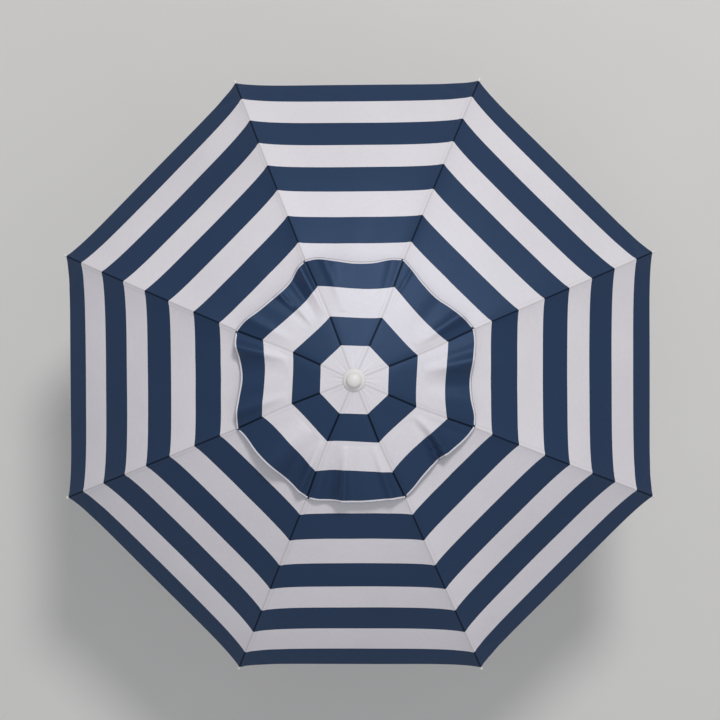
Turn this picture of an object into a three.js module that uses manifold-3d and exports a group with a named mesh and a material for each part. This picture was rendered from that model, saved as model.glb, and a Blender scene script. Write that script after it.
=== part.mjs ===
// A vented golf umbrella, standing open on its shaft: shaft, grip and finial, a crown with eight ribs,
// a runner with eight stretchers, and a double canopy, one panel of each layer to a rib.
// Millimetres, +Z up along the shaft, origin at the centre of the grip's flat butt face.

import * as THREE from 'three';
import { mergeVertices } from 'three/addons/utils/BufferGeometryUtils.js';
import Module from 'manifold-3d';

const wasm = await Module();
wasm.setup();

const rad = THREE.MathUtils.degToRad;

// ---- Driving dimensions ----

// Canopy
const RIB_COUNT = 8;
const FIRST_RIB = rad(22.5);          // azimuth of rib 1, so that a gore faces each axis
const HALF_GORE = Math.PI / RIB_COUNT;
const HEM_ARC = 762;                  // cloth length along a rib, from the shaft's centre line
const CROWN_SLOPE = rad(9.5);         // slope of the canopy at the shaft
const HEM_SLOPE = rad(35);            // slope of the canopy at a rib's tip
const APEX_HEIGHT = 982;              // where the main layer's curve meets the shaft's centre line
const MAIN_SAG = 0.024;               // dip of the main layer between two ribs, over the gore's width
const VENT_RISE = 0.02;               // the vent layer stands up between two ribs by this much instead
const SAG_RUN = 0.085;                // how far from a rib the cloth dips or rises, over the gore's width
const CLOTH = 1.6;                    // thickness of a panel's solid
const MAIN_START_ARC = 190;           // edge of the main layer's central opening
const VENT_START_ARC = 23;            // the vent panels end over the ribs' hinges
const VENT_HEM_ARC = 273;
const VENT_LIFT = 4;                  // the vent layer stands this far off the main layer
const PATCH_RADIUS = 20.5;            // cloth patch clamped between the crown and the finial's collar
const PANEL_GAP = 0.7;                // between two neighbouring panels

// Ribs and stretchers
const RIB_RADIUS = 2.2;
const RIB_DROP = 4;                   // rib's centre line, below the middle of the main layer
const PIVOT_ARC = 21;                 // where a rib is hinged to the crown
const RIB_END_ARC = 752;
const RIB_STEPS = 13;
const TIP_LENGTH = 22;
const TIP_RADIUS = 2.6;
const TIP_BALL = 3.2;
const BRACKET_ARC = 350;              // where a stretcher's bracket sits on its rib
const BRACKET_DEPTH = 9;              // bracket's pivot, below the rib's centre line
const BRACKET_LENGTH = 10;
const RIVET_RADIUS = 1.3;
const RIVET_HEAD = 2.2;
const EYE_RADIUS = 3;
const EYE_HOLE = 1.3;
const CHANNEL_WIDTH = 6;              // the stretcher is a folded channel
const CHANNEL_HEIGHT = 4.6;
const SHEET = 0.7;
const BLADE_LENGTH = 30;              // flattened end of the stretcher, which enters the runner
const BLADE_WIDTH = 2.8;
const RIB_SWING = rad(65.5);           // how far a rib turns down, from open to closed

// Shaft and what slides or sits on it
const SHAFT_RADIUS = 7;
const SHAFT_BORE = 5.8;
const SHAFT_BOTTOM = 12.3;
const SHAFT_TOP = 995.7;
const FIT = 0.4;                      // clearance of a bore on the shaft
const GAP = 0.3;                      // between two pieces that touch
const ROUND_SIDES = 24;
const CROWN_RADIUS = 25;
const CROWN_BELOW = 8;
const CROWN_ABOVE = 3.4;
const SLOT_FLOOR = 15.5;              // radius where the slots for ribs and stretchers end
const CROWN_SLOT = 5.2;
const RUNNER_SLOT = 3.9;
const WIRE_RADIUS = 0.7;
const RUNNER_RADIUS = 26;
const RUNNER_HEAD = 7;                // half the height of the runner's slotted head
const RUNNER_LENGTH = 60;             // from the stretchers' pivots down to the sleeve's end
const SLEEVE_RADIUS = 12;
const KEYWAY_RADIUS = 10.3;           // groove in the runner's bore that clears the catches
const KEYWAY_WIDTH = 5.2;
const CATCH_WIDTH = 4;
const CATCH_REACH = 9.6;              // radius of a catch's tooth when it stands out
const CATCH_TOOTH = 6;                // half the height of a catch's tooth
const CATCH_LEAF = 18;                // half the length of a catch inside the shaft
const GRIP_TOP = 188;
const GRIP_RADIUS = 15;
const COLLAR_RADIUS = 23;
const KNOB_RADIUS = 15.5;

// ---- Materials ----

const material = (color, roughness, metalness = 0) =>
  new THREE.MeshStandardMaterial({ color, roughness, metalness });
const finishes = {
  whitePlastic: () => material(0xece9e2, 0.45),
  whitePaint: () => material(0xe9e8e4, 0.35, 0.1),
  steel: () => material(0xb9bcc0, 0.3, 0.9),
  navyGrip: () => material(0x1e2b47, 0.8),
  mainCloth: () => material(0x2b4468, 0.85),
  ventCloth: () => material(0xe8e3e2, 0.85),
};

// ---- Geometry helpers ----

// Merges shared vertices and turns the faces outward.
function closed(geometry) {
  const bare = geometry.clone();
  for (const name of Object.keys(bare.attributes)) {
    if (name !== 'position') bare.deleteAttribute(name);
  }
  const merged = mergeVertices(bare, 1e-4);
  const [a, b, c] = [new THREE.Vector3(), new THREE.Vector3(), new THREE.Vector3()];
  const { position } = merged.attributes;
  const index = merged.index.array;
  let volume = 0;
  for (let i = 0; i < index.length; i += 3) {
    a.fromBufferAttribute(position, index[i]);
    b.fromBufferAttribute(position, index[i + 1]);
    c.fromBufferAttribute(position, index[i + 2]);
    volume += a.dot(b.cross(c));
  }
  if (volume < 0) {
    for (let i = 0; i < index.length; i += 3) {
      [index[i + 1], index[i + 2]] = [index[i + 2], index[i + 1]];
    }
  }
  return merged;
}

function toSolid(geometry) {
  const { attributes, index } = closed(geometry);
  const vertProperties = new Float32Array(attributes.position.array);
  return new wasm.Manifold(
    new wasm.Mesh({ numProp: 3, vertProperties, triVerts: new Uint32Array(index.array) })
  );
}

function toGeometry(solid) {
  const { vertProperties, triVerts } = solid.getMesh();
  const geometry = new THREE.BufferGeometry();
  geometry.setAttribute('position', new THREE.BufferAttribute(vertProperties, 3));
  geometry.setIndex(new THREE.BufferAttribute(triVerts, 1));
  return geometry;
}

// Joins the first list of geometries, then cuts the second list out.
function combine(joined, cut = []) {
  let solid = toSolid(joined[0]);
  for (const geometry of joined.slice(1)) solid = solid.add(toSolid(geometry));
  for (const geometry of cut) solid = solid.subtract(toSolid(geometry));
  return toGeometry(solid);
}

// A solid of revolution about Z from [radius, height] pairs.
function turned(profile, sides = ROUND_SIDES) {
  const points = profile.map(([radius, height]) => new THREE.Vector2(radius, height));
  if (profile[0][0] > 0) points.push(points[0].clone());
  return closed(new THREE.LatheGeometry(points, sides).rotateX(Math.PI / 2));
}

// A box given by its lowest and highest corners.
function block([x0, y0, z0], [x1, y1, z1]) {
  return new THREE.BoxGeometry(x1 - x0, y1 - y0, z1 - z0)
    .translate((x0 + x1) / 2, (y0 + y1) / 2, (z0 + z1) / 2);
}

// A plate in the XZ plane, centred on Y = offset, from a shape drawn in x and z.
function plate(shape, thickness, offset = 0) {
  return new THREE.ExtrudeGeometry(shape, { depth: thickness, bevelEnabled: false, curveSegments: 4 })
    .translate(0, 0, -thickness / 2)
    .rotateX(Math.PI / 2)
    .translate(0, offset, 0);
}

// A round pin along Y.
const pin = (radius, length, sides = 8) => new THREE.CylinderGeometry(radius, radius, length, sides);

// Copies of a cutter, one at each rib's azimuth.
const atEachRib = (make) =>
  Array.from({ length: RIB_COUNT }, (_, k) => make().rotateZ(FIRST_RIB + 2 * HALF_GORE * k));

// ---- The canopy's curve, in the plane of one rib ----

const CURVATURE = (HEM_SLOPE - CROWN_SLOPE) / HEM_ARC;
const slopeAt = (arc) => CROWN_SLOPE + CURVATURE * arc;
const radiusAt = (arc) => (Math.sin(slopeAt(arc)) - Math.sin(CROWN_SLOPE)) / CURVATURE;
const heightAt = (arc) => APEX_HEIGHT - (Math.cos(CROWN_SLOPE) - Math.cos(slopeAt(arc))) / CURVATURE;

// A point at this arc length, lifted square to the curve.
function onRib(arc, lift) {
  const slope = slopeAt(arc);
  return new THREE.Vector3(
    radiusAt(arc) + lift * Math.sin(slope), 0, heightAt(arc) + lift * Math.cos(slope));
}

// ---- The linkage: rib, stretcher and runner make an isosceles triangle on the shaft ----

const crownPivot = onRib(PIVOT_ARC, -RIB_DROP);
const bracketPivot = onRib(BRACKET_ARC, -RIB_DROP - BRACKET_DEPTH);
const STRETCHER_LENGTH = crownPivot.distanceTo(bracketPivot);
const OPEN_ANGLE = Math.atan2(crownPivot.z - bracketPivot.z, bracketPivot.x - crownPivot.x);
const runnerHeightAt = (angle) => crownPivot.z - 2 * STRETCHER_LENGTH * Math.sin(angle);
const RUNNER_OPEN = runnerHeightAt(OPEN_ANGLE);
const RUNNER_CLOSED = runnerHeightAt(OPEN_ANGLE + RIB_SWING);
const TOP_CATCH = RUNNER_OPEN - RUNNER_LENGTH - CATCH_TOOTH - 2 * GAP;
const BOTTOM_CATCH = RUNNER_CLOSED - RUNNER_LENGTH + 14;

// ---- Shaft, grip and finial ----

function shaft() {
  const wall = new THREE.Shape().absarc(0, 0, SHAFT_RADIUS, 0, 2 * Math.PI);
  wall.holes.push(new THREE.Path().absarc(0, 0, SHAFT_BORE, 0, 2 * Math.PI, true));
  const length = SHAFT_TOP - SHAFT_BOTTOM;
  const tube = new THREE.ExtrudeGeometry(wall, {
    depth: length, bevelEnabled: false, curveSegments: ROUND_SIDES / 2,
  }).translate(0, 0, SHAFT_BOTTOM);
  const halfWidth = CATCH_WIDTH / 2 + FIT;
  const halfHeight = CATCH_TOOTH + 2 * FIT;
  const windows = [TOP_CATCH, BOTTOM_CATCH].map((height) =>
    block([4, -halfWidth, height - halfHeight], [SHAFT_RADIUS + 1, halfWidth, height + halfHeight]));
  return combine([tube], windows);
}

// A leaf inside the shaft with a tooth through the window; the ramp is on the tooth's lower side.
function catchPiece() {
  const leafInner = 2.2;
  const leafOuter = 5;
  const outline = new THREE.Shape([
    new THREE.Vector2(leafInner, -CATCH_LEAF),
    new THREE.Vector2(leafOuter, -CATCH_LEAF),
    new THREE.Vector2(leafOuter, -CATCH_TOOTH),
    new THREE.Vector2(SHAFT_RADIUS, -CATCH_TOOTH),
    new THREE.Vector2(CATCH_REACH, CATCH_TOOTH - 2),
    new THREE.Vector2(CATCH_REACH, CATCH_TOOTH),
    new THREE.Vector2(leafOuter, CATCH_TOOTH),
    new THREE.Vector2(leafOuter, CATCH_LEAF),
    new THREE.Vector2(leafInner, CATCH_LEAF),
  ]);
  return closed(plate(outline, CATCH_WIDTH));
}

function grip() {
  const bore = SHAFT_RADIUS + FIT;
  const side = new THREE.SplineCurve([
    new THREE.Vector2(GRIP_RADIUS - 1, SHAFT_BOTTOM),
    new THREE.Vector2(GRIP_RADIUS, 45),
    new THREE.Vector2(GRIP_RADIUS + 0.8, 105),
    new THREE.Vector2(GRIP_RADIUS - 1.2, 165),
    new THREE.Vector2(GRIP_RADIUS - 2, GRIP_TOP),
  ]);
  const outside = side.getPoints(8).map((point) => [point.x, point.y]);
  return turned([[bore, SHAFT_BOTTOM], ...outside, [bore, GRIP_TOP]]);
}

const gripCollar = () => turned([
  [SHAFT_RADIUS + FIT, GRIP_TOP + GAP], [13, GRIP_TOP + GAP], [13.4, GRIP_TOP + 3],
  [12, GRIP_TOP + 8], [9.4, GRIP_TOP + 13], [SHAFT_RADIUS + FIT, GRIP_TOP + 13],
]);

const buttCap = () => turned([
  [0, 0], [12.5, 0], [14.6, 1.2], [15.2, 4], [15, 9], [13.8, 12], [0, 12],
]);

// The collar's underside follows the cloth that it clamps.
function finialCollar() {
  const clothTop = VENT_LIFT + CLOTH / 2 + 0.4;
  const inner = onRib(SHAFT_RADIUS + FIT, clothTop).z;
  const outer = onRib(COLLAR_RADIUS, clothTop).z;
  const top = inner + 5.5;
  return turned([
    [SHAFT_RADIUS + FIT, inner], [COLLAR_RADIUS - 0.6, outer], [COLLAR_RADIUS, outer + 0.8],
    [COLLAR_RADIUS - 0.2, outer + 3], [COLLAR_RADIUS - 2.4, outer + 4.6], [KNOB_RADIUS + 1, top],
    [SHAFT_RADIUS + FIT, top],
  ]);
}

// A round of cloth that lies as the vent layer does.
function apexPatch() {
  const inner = SHAFT_RADIUS + FIT;
  const heightOf = (radius, lift) => onRib(radius, lift).z;
  const top = VENT_LIFT + CLOTH / 2;
  const under = VENT_LIFT - CLOTH / 2;
  return turned([
    [inner, heightOf(inner, under)], [PATCH_RADIUS, heightOf(PATCH_RADIUS, under)],
    [PATCH_RADIUS, heightOf(PATCH_RADIUS, top)], [inner, heightOf(inner, top)],
  ]);
}

function finialKnob() {
  const bottom = onRib(SHAFT_RADIUS + FIT, VENT_LIFT + CLOTH / 2 + 0.4).z + 5.5 + GAP;
  const rise = 13;
  const dome = new THREE.EllipseCurve(0, bottom + 3, KNOB_RADIUS, rise - 3, 0, Math.PI / 2)
    .getPoints(5)
    .map((point) => [Math.max(point.x, 0), point.y]);
  dome[dome.length - 1][0] = 0;
  const socket = SHAFT_RADIUS + FIT;
  return turned([
    [0, SHAFT_TOP + GAP], [socket, SHAFT_TOP + GAP], [socket, bottom],
    [KNOB_RADIUS - 0.7, bottom], ...dome,
  ]);
}

// ---- Crown, crown wire and runner ----

const slots = (width, low, high) => atEachRib(() =>
  block([SLOT_FLOOR, -width / 2, low], [RUNNER_RADIUS + 4, width / 2, high]));

function crown() {
  const low = crownPivot.z - CROWN_BELOW;
  const high = crownPivot.z + CROWN_ABOVE;
  const bore = SHAFT_RADIUS + FIT;
  const body = turned([
    [bore, low - 6], [11, low - 6], [13, low], [CROWN_RADIUS - 1, low], [CROWN_RADIUS, low + 1],
    [CROWN_RADIUS, high - 1], [CROWN_RADIUS - 1, high], [14.5, high], [13.5, high + 1.6],
    [bore, high + 1.6],
  ]);
  const groove = turned([
    [crownPivot.x - 1.2, crownPivot.z - 1.2], [crownPivot.x + 1.2, crownPivot.z - 1.2],
    [crownPivot.x + 1.2, high + 1], [crownPivot.x - 1.2, high + 1],
  ]);
  return combine([body], [groove, ...slots(CROWN_SLOT, low - 1, high + 1)]);
}

const crownWire = () => closed(new THREE.TorusGeometry(crownPivot.x, WIRE_RADIUS, 5, 4 * RIB_COUNT));

// Drawn about the height of the stretchers' pivots.
function runner() {
  const bore = SHAFT_RADIUS + FIT;
  const body = turned([
    [bore, -RUNNER_LENGTH], [15, -RUNNER_LENGTH], [15.6, -RUNNER_LENGTH + 2],
    [SLEEVE_RADIUS + 0.6, -RUNNER_LENGTH + 7], [SLEEVE_RADIUS, -RUNNER_LENGTH + 12],
    [SLEEVE_RADIUS, -RUNNER_HEAD - 5], [14, -RUNNER_HEAD], [RUNNER_RADIUS - 1, -RUNNER_HEAD],
    [RUNNER_RADIUS, -RUNNER_HEAD + 1], [RUNNER_RADIUS, RUNNER_HEAD - 1],
    [RUNNER_RADIUS - 1, RUNNER_HEAD], [bore, RUNNER_HEAD],
  ]);
  const keyway = block(
    [0, -KEYWAY_WIDTH / 2, -RUNNER_LENGTH - 1], [KEYWAY_RADIUS, KEYWAY_WIDTH / 2, RUNNER_HEAD + 1]);
  const windowMiddle = BOTTOM_CATCH - RUNNER_CLOSED;
  const thumbWindow = block(
    [0, -3.6, windowMiddle - CATCH_TOOTH - 1.5], [20, 3.6, windowMiddle + CATCH_TOOTH + 1.5]);
  return combine([body], [keyway, thumbWindow, ...slots(RUNNER_SLOT, -RUNNER_HEAD - 1, RUNNER_HEAD + 1)]);
}

// ---- Rib and what is on it, drawn in the rib's own plane ----

class RibLine extends THREE.Curve {
  getPoint(t) {
    return onRib(THREE.MathUtils.lerp(PIVOT_ARC, RIB_END_ARC, t), -RIB_DROP);
  }
}

function rib() {
  const section = new THREE.Shape().absarc(0, 0, RIB_RADIUS, 0, 2 * Math.PI);
  const rod = new THREE.ExtrudeGeometry(section, {
    extrudePath: new RibLine(), steps: RIB_STEPS, curveSegments: 3, bevelEnabled: false,
  });
  const eye = pin(EYE_RADIUS, 2 * RIB_RADIUS - 0.4).translate(crownPivot.x, 0, crownPivot.z);
  const hole = pin(EYE_HOLE, 4 * RIB_RADIUS).translate(crownPivot.x, 0, crownPivot.z);
  return combine([rod, eye], [hole]);
}

// Along X, from the rib's end outward.
function ribTip() {
  const ball = new THREE.EllipseCurve(0, TIP_LENGTH - TIP_BALL, TIP_BALL, TIP_BALL, -0.9, Math.PI / 2)
    .getPoints(4)
    .map((point) => [Math.max(point.x, 0), point.y]);
  ball[ball.length - 1][0] = 0;
  return turned([[0, 0], [TIP_RADIUS - 0.4, 0], [TIP_RADIUS, 1], [TIP_RADIUS, 10], [2.1, 12], ...ball], 8)
    .rotateY(Math.PI / 2);
}

// About the rib's centre line: X along the rib, Z square to it.
function ribBracket() {
  const half = BRACKET_LENGTH / 2;
  const inner = RIB_RADIUS + 0.4;
  const outer = inner + 1;
  const floor = block([-half, -outer, -inner - 1.2], [half, outer, -inner]);
  const cheeks = [-1, 1].map((side) => {
    const [near, far] = [side * inner, side * outer].sort((p, q) => p - q);
    return block([-half, near, -inner - 1.2], [half, far, 0.8]);
  });
  const lugShape = new THREE.Shape()
    .moveTo(-3.5, -inner - 0.6)
    .lineTo(-EYE_RADIUS, -BRACKET_DEPTH)
    .absarc(0, -BRACKET_DEPTH, EYE_RADIUS, Math.PI, 2 * Math.PI)
    .lineTo(3.5, -inner - 0.6);
  const flange = CHANNEL_WIDTH / 2;
  const rivet = pin(RIVET_RADIUS, 2 * flange + 1.2).translate(0, 0, -BRACKET_DEPTH);
  const heads = [-1, 1].map((side) =>
    pin(RIVET_HEAD, 0.8).translate(0, side * (flange + GAP + 0.4), -BRACKET_DEPTH));
  return combine([floor, ...cheeks, plate(lugShape, 2.4), rivet, ...heads]);
}

// Along X, from the runner's end to the bracket's rivet, with the channel open upward.
function stretcher() {
  const half = CHANNEL_HEIGHT / 2;
  const side = CHANNEL_WIDTH / 2;
  const channelEnd = STRETCHER_LENGTH - 7;
  const channel = block([BLADE_LENGTH, -side, -half], [channelEnd, side, half]);
  const trough = block(
    [BLADE_LENGTH - 1, -side + SHEET, -half + SHEET],
    [channelEnd + 1, side - SHEET, half + 1],
  );
  const bladeShape = new THREE.Shape()
    .moveTo(0, half - 0.1)
    .absarc(0, 0, half - 0.1, Math.PI / 2, 1.5 * Math.PI)
    .lineTo(BLADE_LENGTH + 6, -half + 0.1)
    .lineTo(BLADE_LENGTH + 6, half - 0.6);
  bladeShape.holes.push(new THREE.Path().absarc(0, 0, 0.9, 0, 2 * Math.PI, true));
  const earShape = new THREE.Shape()
    .moveTo(STRETCHER_LENGTH, EYE_RADIUS)
    .lineTo(channelEnd - 4, half - 0.1)
    .lineTo(channelEnd - 4, -half + 0.1)
    .lineTo(STRETCHER_LENGTH, -EYE_RADIUS)
    .absarc(STRETCHER_LENGTH, 0, EYE_RADIUS, -Math.PI / 2, Math.PI / 2);
  earShape.holes.push(
    new THREE.Path().absarc(STRETCHER_LENGTH, 0, RIVET_RADIUS + FIT, 0, 2 * Math.PI, true));
  const ears = [-1, 1].map((hand) => plate(earShape, SHEET, hand * (side - SHEET / 2)));
  const folded = toGeometry(toSolid(channel).subtract(toSolid(trough)));
  return combine([folded, plate(bladeShape, BLADE_WIDTH), ...ears]);
}

// ---- Canopy panels, each centred on its rib and ending half way to the next ----

// A point of the cloth, `along` mm from the rib towards the middle of the gore on the given side.
// The main layer drops beside a rib and is nearly straight between, as a tent is over its pole.
// The vent layer is sewn down at the ribs and stands up between them.
function onGore(arc, along, side, lift, dip) {
  const slope = slopeAt(arc);
  const radius = radiusAt(arc);
  const halfWidth = radius * Math.sin(HALF_GORE);
  const toMiddle = along / halfWidth;
  const raised = lift - dip * 2 * halfWidth * (1 - Math.exp(-toMiddle / 2 / SAG_RUN));
  const goreSlope = Math.atan(Math.tan(slope) / Math.cos(HALF_GORE));
  const ribNormal = new THREE.Vector3(Math.sin(slope), 0, Math.cos(slope));
  const goreNormal = new THREE.Vector3(
    Math.sin(goreSlope) * Math.cos(HALF_GORE),
    side * Math.sin(goreSlope) * Math.sin(HALF_GORE),
    Math.cos(goreSlope));
  const normal = ribNormal.lerp(goreNormal, toMiddle).normalize();
  return new THREE.Vector3(
    radius - along * Math.sin(HALF_GORE), side * along * Math.cos(HALF_GORE), heightAt(arc))
    .addScaledVector(normal, raised);
}

function panel(startArc, endArc, rows, lift, dip) {
  const across = [-1, -0.35, 0, 0.35, 1];
  const vertices = [];
  for (const skin of [lift + CLOTH / 2, lift - CLOTH / 2]) {
    for (let row = 0; row <= rows; row++) {
      const arc = THREE.MathUtils.lerp(startArc, endArc, row / rows);
      const reach = radiusAt(arc) * Math.sin(HALF_GORE) - PANEL_GAP / 2;
      for (const share of across) {
        const point = onGore(arc, Math.abs(share) * reach, Math.sign(share) || 1, skin, dip);
        vertices.push(...point.toArray());
      }
    }
  }
  const columns = across.length;
  const skinSize = columns * (rows + 1);
  const faces = [];
  const quad = (a, b, c, d) => faces.push(a, b, c, a, c, d);
  for (let row = 0; row < rows; row++) {
    for (let column = 0; column < columns - 1; column++) {
      const corner = row * columns + column;
      quad(corner, corner + columns, corner + columns + 1, corner + 1);
      quad(corner + skinSize, corner + skinSize + 1, corner + skinSize + columns + 1,
        corner + skinSize + columns);
    }
  }
  const loop = [];
  for (let column = 0; column < columns - 1; column++) loop.push(column);
  for (let row = 0; row < rows; row++) loop.push(row * columns + columns - 1);
  for (let column = columns - 1; column > 0; column--) loop.push(rows * columns + column);
  for (let row = rows; row > 0; row--) loop.push(row * columns);
  loop.forEach((here, i) => {
    const next = loop[(i + 1) % loop.length];
    quad(here, next, next + skinSize, here + skinSize);
  });
  const geometry = new THREE.BufferGeometry();
  geometry.setAttribute('position', new THREE.Float32BufferAttribute(vertices, 3));
  geometry.setIndex(faces);
  return closed(geometry);
}

// ---- The assembly ----

const umbrella = new THREE.Group();

function add(parent, name, geometry, finish) {
  const mesh = new THREE.Mesh(geometry, finish());
  mesh.name = name;
  parent.add(mesh);
  return mesh;
}

add(umbrella, 'butt_cap', buttCap(), finishes.whitePlastic);
add(umbrella, 'grip', grip(), finishes.navyGrip);
add(umbrella, 'grip_collar', gripCollar(), finishes.whitePlastic);
add(umbrella, 'shaft', shaft(), finishes.whitePaint);
add(umbrella, 'crown', crown(), finishes.whitePlastic);
add(umbrella, 'crown_wire', crownWire(), finishes.steel).position.z = crownPivot.z;
add(umbrella, 'apex_patch', apexPatch(), finishes.ventCloth);
add(umbrella, 'finial_collar', finialCollar(), finishes.whitePlastic);
add(umbrella, 'finial_knob', finialKnob(), finishes.whitePlastic);
add(umbrella, 'runner', runner(), finishes.whitePlastic).position.z = RUNNER_OPEN;
add(umbrella, 'top_catch', catchPiece(), finishes.steel).position.z = TOP_CATCH;

// The bottom catch is the same piece turned end for end, its ramp on the upper side.
const bottomCatch = add(umbrella, 'bottom_catch', catchPiece(), finishes.steel);
bottomCatch.position.z = BOTTOM_CATCH;
bottomCatch.rotation.x = Math.PI;

for (let k = 0; k < RIB_COUNT; k++) {
  const plane = new THREE.Group();
  plane.rotation.z = FIRST_RIB + 2 * HALF_GORE * k;
  umbrella.add(plane);
  const number = k + 1;

  add(plane, `rib_${number}`, rib(), finishes.whitePaint);

  const tip = add(plane, `rib_tip_${number}`, ribTip(), finishes.whitePlastic);
  tip.position.copy(onRib(RIB_END_ARC + GAP, -RIB_DROP));
  tip.rotation.y = slopeAt(RIB_END_ARC);

  const bracket = add(plane, `rib_bracket_${number}`, ribBracket(), finishes.steel);
  bracket.position.copy(onRib(BRACKET_ARC, -RIB_DROP));
  bracket.rotation.y = slopeAt(BRACKET_ARC);

  const arm = add(plane, `stretcher_${number}`, stretcher(), finishes.whitePaint);
  arm.position.set(crownPivot.x, 0, RUNNER_OPEN);
  arm.rotation.y = -OPEN_ANGLE;

  const mainPanel = panel(MAIN_START_ARC, HEM_ARC, 8, 0, MAIN_SAG);
  const ventPanel = panel(VENT_START_ARC, VENT_HEM_ARC, 4, VENT_LIFT, -VENT_RISE);
  add(plane, `main_panel_${number}`, mainPanel, finishes.mainCloth);
  add(plane, `vent_panel_${number}`, ventPanel, finishes.ventCloth);
}

export default umbrella;
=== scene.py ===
"""The looks of a vented, eight-rib golf umbrella: striped cloth, seams, finial, ribs, shaft and grip.

Metres, +Z up along the shaft. An angle of 0 is +X, and rib 1 stands at 22.5 degrees.
"""
import math

import bmesh
import bpy
import numpy as np
from mathutils import Euler, Matrix, Vector


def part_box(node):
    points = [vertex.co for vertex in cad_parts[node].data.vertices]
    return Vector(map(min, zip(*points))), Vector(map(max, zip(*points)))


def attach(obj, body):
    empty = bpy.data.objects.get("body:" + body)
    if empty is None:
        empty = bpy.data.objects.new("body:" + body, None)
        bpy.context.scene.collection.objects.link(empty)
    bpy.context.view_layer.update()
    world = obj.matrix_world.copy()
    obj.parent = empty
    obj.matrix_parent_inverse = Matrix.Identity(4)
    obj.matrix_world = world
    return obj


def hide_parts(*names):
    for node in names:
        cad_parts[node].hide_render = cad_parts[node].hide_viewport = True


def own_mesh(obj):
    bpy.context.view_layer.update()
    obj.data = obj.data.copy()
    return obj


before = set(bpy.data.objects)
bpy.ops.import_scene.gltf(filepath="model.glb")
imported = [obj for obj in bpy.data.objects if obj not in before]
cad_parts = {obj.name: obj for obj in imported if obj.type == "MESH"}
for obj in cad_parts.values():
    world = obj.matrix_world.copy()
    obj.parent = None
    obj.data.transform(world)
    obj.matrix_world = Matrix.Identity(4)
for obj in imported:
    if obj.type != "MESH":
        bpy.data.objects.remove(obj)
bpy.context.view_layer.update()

MM = 0.001
rad = math.radians

# ---- Driving dimensions, as the part has them ----

RIB_COUNT = 8
HALF_GORE = math.pi / RIB_COUNT
FIRST_RIB = rad(22.5)
HEM_ARC = 762 * MM
CROWN_SLOPE = rad(9.5)
HEM_SLOPE = rad(35)
APEX_HEIGHT = 982 * MM
MAIN_SAG = 0.024              # dip of the main layer between two ribs, over the gore's width
VENT_RISE = 0.02              # the vent layer stands up between two ribs by this much instead
SAG_RUN = 0.085               # how far from a rib the cloth dips or rises, over the gore's width
MAIN_START_ARC = 190 * MM
VENT_START_ARC = 23 * MM
VENT_HEM_ARC = 273 * MM
VENT_LIFT = 4 * MM            # the vent layer stands this far off the main layer
RIB_DROP = 4 * MM             # a rib's axis runs this far under the cloth
RIB_RADIUS = 2.2 * MM
PIVOT_ARC = 21 * MM
RIB_END_ARC = 752 * MM
TIP_LENGTH = 22 * MM
TIP_BALL = 3.2 * MM
SHAFT_RADIUS = 7 * MM
SHAFT_BORE = 5.8 * MM
BORE = SHAFT_RADIUS + 0.4 * MM  # of every part that stands round the shaft
CROWN_SLOT = 5.2 * MM
RUNNER_SLOT = 3.9 * MM
RUNNER_HEAD = 14 * MM
KEYWAY = 5.2 * MM             # width of the runner's groove, which clears the catches
KEYWAY_DEPTH = 10.3 * MM
WIRE_GROOVE = 2.4 * MM

# ---- Cloth ----

CLOTH = 0.6 * MM              # thickness of one layer of cloth
STRIPE = 65.6 * MM            # width of a woven stripe, along a rib
VENT_FIRST_STRIPE = 71 * MM   # the vent's first white stripe ends here, and the rest follow
MAIN_FIRST_STRIPE = 315 * MM
HEM_SPREAD = 5 * MM           # the main layer's hem hangs out by this much between two ribs
HEM_SPREAD_START = 690 * MM
HEM_FOLD = 11 * MM            # its rim is turned under by this much and sewn down
HEM_THICKER = 0.35 * MM
STITCH = 1.6 * MM
STITCH_ROW = 7.8 * MM         # a seam's row of stitches runs this far from its groove
WEAVE = 0.7 * MM
BEYOND_SEAM = 0.1             # cloth this far from a seam shows neither its groove's painted shade nor its stitches
BINDING_WIDTH = 5 * MM        # tape round the vent's hem
BINDING_THICK = 1.9 * MM
BINDING_SIDES = 12
BINDING_STEP = 1e-3           # the tape's direction is taken between places this far apart

# How far the vent's hem lies inside the straight line between two ribs, in mm, at seven places
# across each gore. Gores run anticlockwise from rib 1, and so do the places.
GORE_PLACES = (0, 0.1, 0.3, 0.5, 0.7, 0.9, 1)
HEM_PULL = (
    (0, -1.5, 2, 9.5, 8, 2, 0),
    (0, -1.5, 6, 7, 1.5, -3, 0),
    (0, 1, 11, 9, 5, -1, 0),
    (0, -1, 7, 12, 5, 0, 0),
    (0, 1, -4.5, -4, -2.5, -1, 0),
    (0, -4, -5, -7, -5, -1.5, 0),
    (0, 1, 6, 7.5, 0.5, -2, 0),
    (0, -1, 7, 8.5, 2, -1.5, 0),
)
PULL_START_ARC = 140 * MM     # the pull dies out here
PULL_GROWTH = 3               # the power with which it grows from there to the hem
PULL_DEPTH = 0.15             # a point pulled in sinks by this share of the pull
FOLD_START_ARC = 150 * MM     # the folds die out here
FOLD_GROWTH = 0.8
FOLD_END = 0.06               # they also die out this near a seam, over the gore's width

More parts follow.
